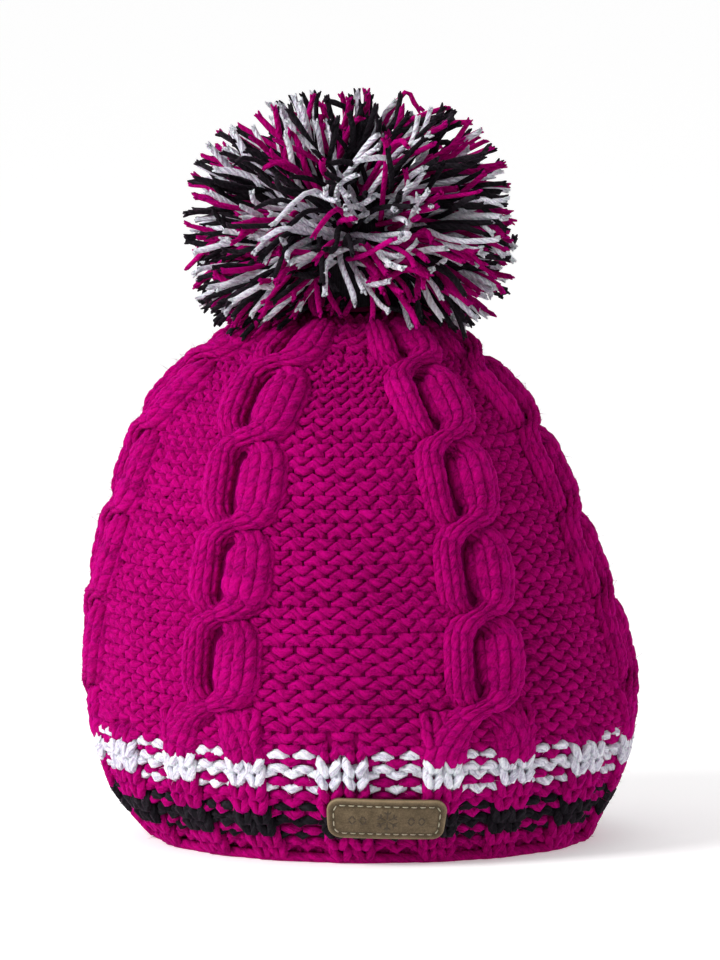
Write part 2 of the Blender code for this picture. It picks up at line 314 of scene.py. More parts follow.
class Ground:
    """The plain fabric's outer surface, by angle from the front and length up from the hem."""

    def __init__(self, samples=1500):
        rows = [*OUTLINE, (1.0, 2 * SEAT_RADIUS / GROUND_WIDTH, TOP_LEAN)]
        height, width, lean = np.array(rows).T
        share = np.linspace(0, 1, samples)
        self.z = share * CROWN_HEIGHT
        self.radius = smooth_through(height, width, share) * GROUND_WIDTH / 2
        self.lean = smooth_through(height, lean, share) * GROUND_WIDTH
        steps = np.hypot(np.diff(self.z), np.diff(self.radius))
        self.length = np.concatenate([[0], np.cumsum(steps)])
        rise = np.gradient(self.z, self.length)
        run = np.gradient(self.radius, self.length)
        size = np.hypot(rise, run)
        self.out = rise / size
        self.up = -run / size

    def total(self):
        return self.length[-1]

    def at(self, length, *columns):
        found = [np.interp(length, self.length, getattr(self, c)) for c in columns]
        return found[0] if len(found) == 1 else found

    def length_at_radius(self, radius):
        """The length at which the crown has narrowed to this radius."""
        top = self.z > CROWN_HEIGHT / 2
        return float(np.interp(radius, self.radius[top][::-1], self.length[top][::-1]))

    def place(self, angle, length, proud):
        radius, z, lean, out, up = self.at(length, "radius", "z", "lean", "out", "up")
        depth = GROUND_DEPTH / GROUND_WIDTH
        x = lean + (radius + proud * out) * np.sin(angle)
        y = -(radius * depth + proud * out) * np.cos(angle)
        return np.stack([x, y, z + proud * up + 0 * angle], -1)

    def normal(self, angle, length):
        out, up = self.at(length, "out", "up")
        return np.stack([out * np.sin(angle), -out * np.cos(angle), up + 0 * angle], -1)

    def height_at(self, points):
        """Height of the crown's surface above or below each point, 0 outside the crown."""
        x = points[..., 0] - TOP_LEAN * GROUND_WIDTH
        y = points[..., 1] * GROUND_WIDTH / GROUND_DEPTH
        top = self.z > CROWN_HEIGHT / 2
        reach = np.hypot(x, y)
        return np.interp(reach, self.radius[top][::-1], self.z[top][::-1], left=CROWN_HEIGHT, right=0)


ground = Ground()


def cable_middle(index, length):
    """Angle of a cable's middle at this length, with its drift towards the front."""
    low, high = CABLES[index]
    share = (length - BRIM_HEIGHT) / (SHOULDER * ground.total() - BRIM_HEIGHT)
    return np.radians(low + (high - low) * np.sin(np.pi / 2 * np.clip(share, 0, 1)))


def wale_angle(wale):
    """Angle of a place in the fabric, counted in wales from the first cable's middle."""
    middles = [low for low, _ in CABLES] + [CABLES[0][0] + 360]
    near = CABLE_DRAW / 4
    degrees, knots = [], []
    for i in range(PITCHES):
        pitch = middles[i + 1] - middles[i]
        degrees += [middles[i], middles[i] + near * pitch, middles[i + 1] - near * pitch]
        knots += [(i + share) * WALES_PER_PITCH for share in (0, 0.25, 0.75)]
    degrees.append(middles[-1])
    knots.append(WALES)
    turns = np.floor(wale / WALES)
    return np.radians(np.interp(wale - turns * WALES, knots, degrees) + 360 * turns)


def mesh_object(name, points, faces, uvs=None, tone=None):
    """A piece from arrays: points (n, 3), faces (m, sides), uvs (m, sides, 2), one tone a point."""
    mesh = bpy.data.meshes.new(name)
    sides = faces.shape[1]
    mesh.vertices.add(len(points))
    mesh.vertices.foreach_set("co", np.asarray(points, np.float32).ravel())
    mesh.loops.add(faces.size)
    mesh.loops.foreach_set("vertex_index", faces.astype(np.int32).ravel())
    mesh.polygons.add(len(faces))
    mesh.polygons.foreach_set("loop_start", np.arange(0, faces.size, sides, dtype=np.int32))
    mesh.polygons.foreach_set("loop_total", np.full(len(faces), sides, np.int32))
    if uvs is not None:
        layer = mesh.uv_layers.new(name="yarn")
        layer.data.foreach_set("uv", uvs.astype(np.float32).ravel())
    if tone is not None:
        layer = mesh.attributes.new("tone", "FLOAT", "POINT")
        layer.data.foreach_set("value", np.asarray(tone, np.float32).ravel())
    mesh.update(calc_edges=True)
    mesh.shade_smooth()
    thing = bpy.data.objects.new(name, mesh)
    bpy.context.scene.collection.objects.link(thing)
    return thing


def finish_piece(piece, material, slot, *nodes):
    """Gives a piece its material and its body, and hides the solids it stands for. The slot is not used."""
    piece.data.materials.append(material)
    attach(piece, "root")
    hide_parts(*nodes)


class Bundle:
    """Collects tubes of yarn that become one piece."""

    def __init__(self):
        self.points, self.faces, self.uvs, self.tones = [], [], [], []
        self.count = 0

    def add(self, points, faces, uvs, tone):
        self.points.append(points)
        self.faces.append(faces + self.count)
        self.uvs.append(uvs)
        self.tones.append(np.broadcast_to(tone, len(points)))
        self.count += len(points)

    def tubes(self, paths, hints, radii, tone=TONE, sides=YARN_SIDES, closed=False, hidden=None):
        """Tubes along many paths at once: paths and hints (m, n, 3), radii (m, n). Rings marked
        as hidden get no surface."""
        count, steps = paths.shape[:2]
        if closed:
            ahead = unit(np.roll(paths, -1, 1) - np.roll(paths, 1, 1))
        else:
            ahead = unit(np.gradient(paths, axis=1))
        across = unit(np.cross(ahead, hints))
        above = np.cross(across, ahead)
        turn = (np.arange(sides) * 2 * np.pi / sides)[:, None]
        ring = np.cos(turn) * across[:, :, None] + np.sin(turn) * above[:, :, None]
        points = paths[:, :, None] + ring * radii[:, :, None, None]
        rings = np.arange(count * steps).reshape(count, steps)
        first = rings if closed else rings[:, :-1]
        second = np.roll(rings, -1, 1) if closed else rings[:, 1:]
        k = np.arange(sides)
        a = first[..., None] * sides
        b = second[..., None] * sides
        faces = np.stack([a + k, b + k, b + (k + 1) % sides, a + (k + 1) % sides], -1)
        run = np.linalg.norm(np.diff(paths, axis=1, append=paths[:, :1]), axis=-1)
        along = np.cumsum(run, 1) / (2 * float(np.mean(radii)))
        along = np.concatenate([np.zeros((count, 1)), along], 1) + PATTERN_SHIFT * np.arange(count)[:, None]
        v0 = along[:, : first.shape[1], None] + 0 * k
        v1 = along[:, 1 : first.shape[1] + 1, None] + 0 * k
        u0 = k / sides + 0 * v0
        u1 = (k + 1) / sides + 0 * v0
        corners = [(u0, v0), (u0, v1), (u1, v1), (u1, v0)]
        uvs = np.stack([np.stack(corner, -1) for corner in corners], -2)
        if hidden is not None:
            seen = ~(hidden & np.roll(hidden, -1))
            faces, uvs = faces[:, seen], uvs[:, seen]
        tone = np.broadcast_to(tone, (count, steps))
        self.add(
            points.reshape(-1, 3),
            faces.reshape(-1, 4),
            uvs.reshape(-1, 4, 2),
            np.repeat(tone, sides, axis=1).ravel(),
        )

    def fuzz(self, count, fibres):
        """Adds loose fibres that stand off this yarn where it faces outwards."""
        points, faces = np.concatenate(self.points), np.concatenate(self.faces)
        corners = points[faces]
        middle = corners.mean(1)
        normal = unit(np.cross(corners[:, 2] - corners[:, 0], corners[:, 3] - corners[:, 1]))
        outward = unit(middle - (TOP_LEAN * GROUND_WIDTH, 0, FUZZ_CENTRE))
        facing = np.flatnonzero(np.sum(normal * outward, -1) > FUZZ_FACING)
        chosen = rng.choice(facing, size=count)
        root, normal = middle[chosen], normal[chosen]
        aside = rng.normal(size=(count, 3))
        aside = unit(aside - normal * np.sum(aside * normal, -1, keepdims=True))
        way = unit(FUZZ_LIFT * normal + aside)
        bend = unit(rng.normal(size=(count, 3)))[:, None]
        length = FUZZ_LENGTH * (FUZZ_SHORTEST + rng.random((count, 1, 1)) ** 2)
        share = np.linspace(0, 1, FUZZ_POINTS)[None, :, None]
        line = root[:, None] + length * (share * way[:, None] + FUZZ_BEND * share**2 * bend)
        line[..., 2] = np.maximum(line[..., 2], FUZZ_WIDTH)
        flat = unit(np.cross(way, rng.normal(size=(count, 3))))[:, None]
        width = flat * FUZZ_WIDTH * (1.05 - share)
        pairs = np.stack([line - width / 2, line + width / 2], 2)
        step = np.arange(FUZZ_POINTS - 1) * 2
        face = np.stack([step, step + 1, step + 3, step + 2], -1)
        faces = (np.arange(count)[:, None, None] * 2 * FUZZ_POINTS + face).reshape(-1, 4)
        uvs = np.broadcast_to(np.array([(0, 0), (0.1, 0), (0.1, 1), (0, 1)]), (len(faces), 4, 2))
        # the fibres are painted lighter than their yarn, as painted sheen
        tone = FUZZ_PAINTED_SHEEN_TONE + FUZZ_TONE_SPREAD * rng.normal(size=count)
        fibres.add(pairs.reshape(-1, 3), faces, uvs, np.repeat(tone, 2 * FUZZ_POINTS))

    def build(self, name):
        points, faces = np.concatenate(self.points), np.concatenate(self.faces)
        used, index = np.unique(faces, return_inverse=True)
        tones = np.concatenate(self.tones)[used]
        uvs = np.concatenate(self.uvs)
        return mesh_object(name, points[used], index.reshape(faces.shape), uvs, tones)


# Materials


class Shading:
    """Short way to write a material's nodes."""

    def __init__(self, name):
        self.material = bpy.data.materials.new(name)
        self.material.use_nodes = True
        self.tree = self.material.node_tree
        self.shader = self.tree.nodes["Principled BSDF"]

    def add(self, kind, inputs=None, **settings):
        node = self.tree.nodes.new(kind)
        for key, value in settings.items():
            setattr(node, key, value)
        for key, value in (inputs or {}).items():
            if isinstance(value, bpy.types.NodeSocket):
                self.tree.links.new(value, node.inputs[key])
            else:
                node.inputs[key].default_value = value
        return node

    def maths(self, operation, a, b=0.0, clamp=False):
        node = self.add("ShaderNodeMath", {0: a, 1: b}, operation=operation, use_clamp=clamp)
        return node.outputs[0]

    def mixed(self, parts):
        """Sum of (share, value) parts, kept between 0 and 1."""
        total = 0.0
        for share, value in parts:
            total = self.maths("ADD", total, self.maths("MULTIPLY", value, share), clamp=True)
        return total

    def ramp(self, factor, stops):
        node = self.add("ShaderNodeValToRGB", {"Fac": factor})
        elements = node.color_ramp.elements
        while len(elements) < len(stops):
            elements.new(0.5)
        for element, (place, colour) in zip(elements, stops):
            element.position = place
            element.color = (*colour, 1)
        return node.outputs["Color"]

    def noise(self, vector, scale, detail=2.0):
        inputs = {"Vector": vector, "Scale": scale, "Detail": detail}
        return self.add("ShaderNodeTexNoise", inputs).outputs["Fac"]

    def position(self):
        return self.add("ShaderNodeTexCoord").outputs["Object"]

    def value(self, name):
        return self.add("ShaderNodeAttribute", attribute_name=name).outputs["Fac"]

    def bump(self, height, strength, distance):
        inputs = {"Height": height, "Strength": strength, "Distance": distance}
        bump = self.add("ShaderNodeBump", inputs)
        self.tree.links.new(bump.outputs[0], self.shader.inputs["Normal"])

    def colour(self, colour):
        self.tree.links.new(colour, self.shader.inputs["Base Color"])

    def surface(self, **values):
        for key, value in values.items():
            self.shader.inputs[key.replace("_", " ")].default_value = value


def yarn_material(name, deep, colour, bright, twist=0.65, plies=3, sheen=0.5, ply_share=0.15):
    """Plied wool: the plies turn round the yarn and fine fibres run along them."""
    s = Shading(name)
    place = s.add("ShaderNodeSeparateXYZ", {0: s.add("ShaderNodeUVMap", uv_map="yarn").outputs[0]})
    around, along = place.outputs[0], place.outputs[1]
    turned = s.maths("ADD", s.maths("MULTIPLY", around, float(plies)), s.maths("MULTIPLY", along, twist))
    ply = s.maths("COSINE", s.maths("MULTIPLY", turned, 2 * math.pi))
    drawn = s.add(
        "ShaderNodeCombineXYZ", {0: s.maths("MULTIPLY", turned, 6.0), 1: s.maths("MULTIPLY", along, 1.2)}
    )
    fibre = s.noise(drawn.outputs[0], 1.0, 4.0)
    tuft = s.noise(s.position(), 1300.0, 3.0)
    cloud = s.noise(s.position(), 45.0)
    tone = s.value("tone")
    # The ply term in the colour makes the grooves between the plies darker and their crests lighter:
    # painted shade and painted highlight
    s.colour(
        s.ramp(
            s.mixed(((0.60, fibre), (0.35, tuft), (0.05, ply), (0.20, tone), (0.12, cloud))),
            ((0.50, deep), (0.635, colour), (0.77, bright)),
        )
    )
    ridge = s.maths("ADD", s.maths("MULTIPLY", ply, ply_share), ply_share)
    s.bump(s.mixed(((1.0, ridge), (0.45, fibre), (0.45, tuft))), 0.8, 0.0012)
    s.surface(Roughness=0.95, Specular_IOR_Level=0.03, Sheen_Weight=sheen, Sheen_Roughness=0.5)
    s.surface(Sheen_Tint=(*bright, 1), Subsurface_Weight=0.4, Subsurface_Scale=0.0025)
    s.surface(Subsurface_Radius=(1.0, 0.6, 0.8))
    return s.material


def leather_material(name, dark, colour, light):
    """Rubbed leather: a fine grain, cloudy tone and a paler cut edge."""
    s = Shading(name)
    place = s.position()
    inputs = {"Vector": place, "Scale": 2200.0}
    grain = s.add("ShaderNodeTexVoronoi", inputs, feature="DISTANCE_TO_EDGE").outputs["Distance"]
    cloud = s.noise(place, 240.0, 4.0)
    fine = s.noise(place, 1500.0, 3.0)
    tone = s.value("tone")
    s.colour(
        s.ramp(
            s.mixed(((0.35, cloud), (0.25, fine), (0.25, grain), (0.55, tone))),
            ((0.20, dark), (0.45, colour), (0.85, light)),
        )
    )
    s.bump(s.mixed(((0.6, grain), (0.5, fine))), 0.6, 0.00025)
    s.surface(Roughness=0.6, Specular_IOR_Level=0.35)
    return s.material


MAGENTA = yarn_material(
    "magenta_yarn", (0.180, 0.0001, 0.063), (0.330, 0.0003, 0.115), (0.430, 0.0006, 0.158)
)
# The backing's yarn: the magenta yarn's colours darkened, as painted shade between the loops
SHADED_INSIDE = yarn_material("magenta_inside_painted_shade", (0.14, 0.0001, 0.050), (0.22, 0.0002, 0.08), (0.28, 0.0003, 0.10))
BLACK = yarn_material(
    "black_yarn", (0.006, 0.005, 0.007), (0.012, 0.010, 0.013), (0.022, 0.019, 0.024), sheen=0.1
)
WHITE = yarn_material(
    "white_yarn", (0.44, 0.41, 0.52), (0.72, 0.71, 0.80), (0.87, 0.87, 0.93), sheen=0.05, ply_share=0.3
)
THREAD = yarn_material("seam_thread", (0.35, 0.28, 0.18), (0.48, 0.41, 0.29), (0.62, 0.55, 0.42))
LEATHER = leather_material(
    "olive_leather", (0.028, 0.016, 0.005), (0.056, 0.035, 0.012), (0.25, 0.18, 0.10)
)
STAMP = leather_material("stamped_leather", (0.02, 0.012, 0.006), (0.035, 0.022, 0.011), (0.07, 0.05, 0.03))


# Knitted fabric


def rib(wale):
    """1 on the two knit stitches of each rib, 0 on the two purl ones."""
    return ease((RIB_HALF - np.abs(wale % RIB_WALES - RIB_WALES / 2)) / RIB_SOFTNESS)


def cable_feet(wale):
    """The ribs on both sides of a cable, which run up into its strands."""
    return rib(wale) * (np.abs(wale % WALES_PER_PITCH - WALES_PER_PITCH / 2) > PANEL_HALF)


def plain(wale):
    """No knit stitch anywhere: the fabric shows its purl side."""
    return np.zeros_like(wale)


def behind_cable(angle, length):
    """True where a cable's strands hide the fabric."""
    if length < BRIM_HEIGHT + FIRST_CROSSING:
        return np.zeros(angle.shape, bool)
    radius = ground.at(length, "radius")
    pitches = (length - BRIM_HEIGHT - FIRST_CROSSING) / CROSSING_PITCH
    turn = math.tanh(CROSSING_STEEPNESS * (pitches - round(pitches)))
    half = COVERED[0] + (COVERED[1] - COVERED[0]) * turn**2
    half = half / radius * min(1.0, radius / NARROWING_RADIUS)
    offs = [np.angle(np.exp(1j * (angle - cable_middle(i, length)))) for i in range(PITCHES)]
    return np.min(np.abs(offs), axis=0) < half


def course(bundle, length, row, reach, wales, knit, rise=RIB_RISE, sink=0.0):
    """One round of loops at this length up the hat. Where knit is 1 the loops show their legs,
    and where it is 0 they show their heads. The value sink draws in the heads behind the legs."""
    wale = np.arange(wales * STITCH_POINTS) / STITCH_POINTS
    t = 2 * np.pi * (wale - 0.5)
    index = np.arange(wales + 1)
    stray, lift, size, shade = (
        np.interp(wale, index, np.append(run, run[0]))
        for run in (smoothed(rng.normal(size=wales)) for _ in range(4))
    )
    every = WALES / wales
    place = (wale + LOOP_LEAN * np.sin(2 * t) + LOOP_STRAY * stray) * every
    showing = knit(place)
    place = place + LEG_LEAN * np.sin(2 * t) * showing
    angle = wale_angle(place)
    wave = (np.cos(t) - LOOP_FLATNESS * np.cos(3 * t)) / (1 - LOOP_FLATNESS)
    up = length + row * (reach * wave * (1 + SIZE_SPREAD * size) + ROW_STRAY * stray)
    front = (1 - 2 * showing) * LOOP_DEPTH * np.cos(2 * t)
    drawn_in = sink * np.maximum(np.cos(t), 0) * showing
    proud = front - LOOP_DEPTH - YARN + rise * showing + LIFT_SPREAD * lift - drawn_in
    path = ground.place(angle, up, proud)
    path[:, 2] = np.maximum(path[:, 2], YARN)
    spacing = 2 * np.pi * ground.at(length, "radius") / wales
    radius = min(YARN, YARN_SHARE * spacing) * (1 + YARN_SPREAD * shade)
    tone = TONE + TONE_SPREAD * shade
    hint = ground.normal(angle, up)
    hidden = behind_cable(angle, length)
    bundle.tubes(path[None], hint[None], radius[None], tone, closed=True, hidden=hidden)


def cast_on_edge(bundle):
    """The yarn along the hem's lower edge."""
    wale = np.arange(WALES * EDGE_POINTS) / EDGE_POINTS
    angle = wale_angle(wale)
    radius = YARN * (EDGE_YARN + EDGE_SWELL * np.cos(2 * np.pi * wale))
    proud = -YARN + EDGE_WAVE * np.sin(2 * np.pi * wale) + RIB_RISE * rib(wale) * EDGE_RISE
    path = ground.place(angle, radius, proud)
    path[:, 2] = radius
    hint = ground.normal(angle, radius)
    bundle.tubes(path[None], hint[None], radius[None], EDGE_TONE, closed=True)


def build_brim(fuzz):
    """Four ribbed bands, from the hem up."""
    bands = (
        # name, node, yarn, slot
        ("hem", "hem_band", MAGENTA, "yarn_magenta"),
        ("black", "stripe_black", BLACK, "yarn_black"),
        ("upper", "band_upper", MAGENTA, "yarn_magenta"),
        ("white", "stripe_white", WHITE, "yarn_white"),
    )
    for i, (name, node, material, slot) in enumerate(bands):
        bundle = Bundle()
        for row in range(ROWS_PER_BAND * i, ROWS_PER_BAND * (i + 1)):
            sink = HEAD_SINK if row == ROWS_PER_BAND * len(bands) - 1 else 0.0
            length = (row + FIRST_BRIM_ROW) * BRIM_ROW
            course(bundle, length, BRIM_ROW, BRIM_REACH, WALES, rib, sink=sink)
        if i == 0:
            cast_on_edge(bundle)
        bundle.fuzz(BRIM_FUZZ, fuzz[slot])
        finish_piece(bundle.build(f"knit_{name}"), material, slot, node)


def build_crown(fuzz):
    """The plain fabric above the brim, in three pieces from the brim up."""
    start = BRIM_HEIGHT + FIRST_CROWN_ROW * CROWN_ROW
    lengths = np.arange(start, ground.length_at_radius(TOP_RADIUS), CROWN_ROW)
    gathered = ground.length_at_radius(GATHER_RADIUS)
    for part, rows in enumerate(np.array_split(lengths, 3)):
        bundle = Bundle()
        for length in rows:
            knit = cable_feet if length < BRIM_HEIGHT + FIRST_CROSSING else plain
            knit = rib if length == start else knit
            wales = WALES // 2 if length > gathered else WALES
            rise, sink = RIB_RISE, 0.0
            if length == start:
                rise, sink = FIRST_CROWN_RISE * RIB_RISE, HEAD_SINK
            course(bundle, length, CROWN_ROW, CROWN_REACH, wales, knit, rise, sink)
        bundle.fuzz(CROWN_FUZZ // 3, fuzz)
        finish_piece(bundle.build(f"knit_crown_{part + 1}"), MAGENTA, "yarn_magenta", "crown")


def build_backing():
    """The inside of the fabric, seen between its loops, in a darker copy of the magenta yarn: painted
    shade.
    """
    columns = BACKING_COLUMNS
    angle = np.arange(columns) * 2 * np.pi / columns
    lengths = np.linspace(BACKING_FOOT, ground.total(), BACKING_ROWS)
    outer = -LOOP_DEPTH - YARN + BACKING_OVERLAP
    inner = outer - BACKING_WALL
    rings = [ground.place(angle, length, outer) for length in lengths]
    rings += [ground.place(angle, length, inner) for length in lengths[::-1]]
    for ring in rings:
        ring[:, 2] = np.maximum(ring[:, 2], BACKING_FOOT)
    points = np.concatenate(rings)
    count = len(rings)
    i, k = np.meshgrid(np.arange(count), np.arange(columns), indexing="ij")
    a, b = i * columns, (i + 1) % count * columns
    faces = np.stack([a + k, a + (k + 1) % columns, b + (k + 1) % columns, b + k], -1).reshape(-1, 4)
    uvs = np.zeros((len(faces), 4, 2))
    piece = mesh_object("knit_inside", points, faces, uvs, np.full(len(points), TONE))
    finish_piece(piece, SHADED_INSIDE, "yarn_magenta", "crown")


# Cables


def strand_line(cable, strand):
    """A strand's middle, normal, half width, height and lean, in small steps along it."""
    top = ground.length_at_radius(CABLE_TOP_RADIUS)
    length = np.arange(BRIM_HEIGHT - STRAND_START, top, STRAND_STEP)
    pitches = (length - BRIM_HEIGHT - FIRST_CROSSING) / CROSSING_PITCH
    nearest = np.maximum(np.round(pitches), 0)
    side = np.where((nearest + strand) % 2 == 0, 1, -1)
    turn = np.tanh(CROSSING_STEEPNESS * (pitches - nearest))
    crossing = 1 - turn**2
    radius = ground.at(length, "radius")
    narrow = np.minimum(1, radius / NARROWING_RADIUS)
    foot = ease(-pitches * CROSSING_PITCH / FIRST_CROSSING)
    (left, left_half, left_lean), (right, right_half, right_lean) = LOBES
    share = (1 + side * turn) / 2
    lobe = left + (right - left) * share
    place = lobe + (np.sign(lobe) * FOOT_PLACE - lobe) * foot
    angle = cable_middle(cable, length) + place * narrow / radius
    rise = np.where(side > 0, OVER_RISE, -UNDER_DROP) * crossing - FOOT_DROP * foot
    points = ground.place(angle, length, rise * narrow)
    half = left_half + (right_half - left_half) * share
    half = half + (NECK_HALF - half) * crossing + (FOOT_HALF - half) * foot
    half = half * narrow
    height = STRAND_HEIGHT * narrow * (1 - FOOT_FLATNESS * foot)
    lean = np.radians(left_lean + (right_lean - left_lean) * share) * turn**2 * (1 - foot)
    return points, ground.normal(angle, length), half, height, lean


def build_cable(index, fuzz):
    """Two strands, each a dome of knitted stitches whose rows lie across it."""
    bundle = Bundle()
    wale = np.linspace(-0.5, 0.5, STRAND_WALES * STITCH_POINTS + 1) * STRAND_WALES
    t = 2 * np.pi * wale
    for strand in range(2):
        line, normal, half, height, lean = strand_line(index, strand)
        run = np.concatenate([[0], np.cumsum(np.linalg.norm(np.diff(line, axis=0), axis=1))])
        rows = np.arange(0.5 * STRAND_ROW, run[-1] - 0.5 * STRAND_ROW, STRAND_ROW)[:, None]
        stray = rng.normal(size=rows.shape)
        along = rows + STRAND_ROW * (STRAND_REACH * np.cos(t) + STRAND_STRAY * stray)
        aside = (wale + STRAND_LEAN * np.sin(2 * t)) / (STRAND_WALES / 2) * STRAND_WRAP
        ahead = unit(np.gradient(line, run, axis=0))
        across = unit(np.cross(ahead, normal))
        at, sideways, out = (
            np.stack([np.interp(along, run, column) for column in table.T], -1)
            for table in (line, across, normal)
        )
        wide = np.interp(along, run, half)
        tall = np.interp(along, run, height)
        slope = unit(np.stack([np.sin(aside) / wide, np.cos(aside) / tall], -1))
        depth = -STRAND_DEPTH * np.cos(2 * t) + STRAND_LIFT * stray
        x = wide * np.sin(aside) + slope[..., 0] * depth
        z = tall * np.cos(aside) + slope[..., 1] * depth
        level, rolled = (f(np.interp(along, run, lean))[..., None] for f in (np.cos, np.sin))
        right, front = sideways * level - out * rolled, out * level + sideways * rolled
        paths = at + out * STRAND_BASE + right * x[..., None] + front * z[..., None]
        hints = right * slope[..., 0:1] + front * slope[..., 1:2]
        radii = np.minimum(STRAND_YARN, STRAND_YARN_SHARE * wide) * (1 + YARN_SPREAD * stray)
        bundle.tubes(paths, hints, radii, TONE + STRAND_TONE_SPREAD * stray)
    bundle.fuzz(CABLE_FUZZ, fuzz)
    finish_piece(bundle.build(f"cable_{index + 1}"), MAGENTA, "yarn_magenta", "crown")


# Pompom


def sphere_directions(count):
    """Directions spread evenly over the ball."""
    i = np.arange(count) + 0.5
    z = 1 - 2 * i / count
    turn = i * math.pi * (1 + math.sqrt(5))
    flat = np.sqrt(1 - z * z)
    return np.stack([flat * np.cos(turn), flat * np.sin(turn), z], -1)


def pompom_reach(direction):
    """How far the pompom's form reaches from its middle in each direction."""
    side = direction[..., :2] / POMPOM_SIDE
    above = direction[..., 2] > 0
    tall = direction[..., 2] / np.where(above, POMPOM_ABOVE, POMPOM_BELOW)
    power = np.where(above, *POMPOM_SQUARENESS)
    total = np.sum(np.abs(side) ** power[..., None], -1) + np.abs(tall) ** power
    return POMPOM_REACH * total ** (-1 / power)


def add_frays(bundle, paths, tone):
    """Loose plies at the cut ends."""
    end = np.repeat(paths[:, -1], FRAY_PLIES, 0)
    way = np.repeat(unit(paths[:, -1] - paths[:, -2]), FRAY_PLIES, 0)
    spread = unit(rng.normal(size=way.shape))
    spread -= way * np.sum(spread * way, -1, keepdims=True)
    share = np.linspace(0, 1, len(FRAY_RADII))[None, :, None]
    least, differing = FRAY_LENGTHS
    length = least + differing * rng.random((len(end), 1, 1))
    fray = end[:, None] - way[:, None] * FRAY_START + spread[:, None] * STRAND_RADIUS * FRAY_OFFSET
    fray = fray + share * way[:, None] * FRAY_LENGTH * length
    fray = fray + share**FRAY_CURVE * spread[:, None] * FRAY_SPREAD
    radii = np.array(FRAY_RADII) + np.zeros((len(end), 1))
    hints = np.broadcast_to(spread[:, None], fray.shape)
    bundle.tubes(fray, hints, radii, np.repeat(tone, FRAY_PLIES, 0), sides=FRAY_SIDES)


def build_pompom_core(middle):
    """The bound yarn in the middle, all in the black yarn: painted shade seen between the strands."""
    columns, rows = CORE_COLUMNS, CORE_ROWS
    down = np.linspace(CORE_POLE, math.pi - CORE_POLE, rows)
    turn = np.arange(columns) * 2 * math.pi / columns
    tilt, spin = np.meshgrid(down, turn, indexing="ij")
    way = np.stack([np.sin(tilt) * np.cos(spin), np.sin(tilt) * np.sin(spin), np.cos(tilt)], -1)
    lumps = 1 + CORE_LUMPS * np.sin(9 * spin + 4 * tilt) * np.sin(tilt)
    share = CORE_SHARE + CORE_SHARE_BELOW * np.maximum(-way[..., 2], 0)
    points = middle + way * (pompom_reach(way) * share * lumps)[..., None]
    seat = ground.height_at(points) + CORE_CLEARANCE
    points[..., 2] = np.where(way[..., 2] < CORE_SEAT, seat, np.maximum(points[..., 2], seat))
    points = points.reshape(-1, 3)
    i, k = np.meshgrid(np.arange(rows - 1), np.arange(columns), indexing="ij")
    a, b, beside = i * columns, (i + 1) * columns, (k + 1) % columns
    faces = np.stack([a + k, b + k, b + beside, a + beside], -1).reshape(-1, 4)
    uvs = points[faces][..., :2] * CORE_PATTERN
    piece = mesh_object("pompom_core", points, faces, uvs, np.full(len(points), TONE))
    # the black yarn on the core is painted shade between the strands
    finish_piece(piece, BLACK, "yarn_mixed", "pompom")


def strand_paths(middle, clump, way):
    """The strands' middle lines. Each strand has its clump's number and its own way out."""
    count, clumps = len(way), clump[-1] + 1
    facing = np.abs(way[:, 1:2]) ** 2
    side = np.sign(way[:, :1] + COMB_MIXING * rng.normal(size=(clumps, 1))[clump])
    comb = side * (COMB_ASIDE, 0, 0) + (0, 0, -COMB_DOWN)
    sway = rng.normal(size=(clumps, 3))[clump] * CLUMP_SWAY
    sway = sway + rng.normal(size=(count, 3)) * STRAND_SWAY
    sway += comb * facing
    sway -= way * np.sum(sway * way, -1, keepdims=True)
    sway[:, 2] -= SAG * (1 - np.maximum(way[:, 2], 0))
    droop = np.maximum(DROOP_SLOPE - way[:, 2], 0)[:, None, None] * (0, 0, -DROOP)
    share = np.linspace(ROOT_SHARE, 1, STRAND_STEPS)[None, :, None]
    curl = rng.normal(size=(count, 1, 3)) * CURL
    curl = curl * np.sin(share * CURL_TURNS + rng.random((count, 1, 1)) * CURL_START)
    paths = way[:, None] * share + sway[:, None] * share**2 + droop * share**3 + curl * share
    tips = np.linalg.norm(paths[:, -1], axis=-1)
    uneven = rng.normal(size=clumps)[clump] * CLUMP_LENGTHS + rng.normal(size=count) * STRAND_LENGTHS
    reach = pompom_reach(unit(paths[:, -1])) * (1 + np.clip(uneven, *LENGTH_LIMITS)) / tips
    roots = rng.normal(size=(count, 1, 3)) * ROOT_SPREAD * (1 - share)
    paths = middle + paths * reach[:, None, None] + roots
    floor = ground.height_at(paths) + CROWN_CLEARANCE
    paths[..., 2] = np.maximum(paths[..., 2], floor)
    return paths


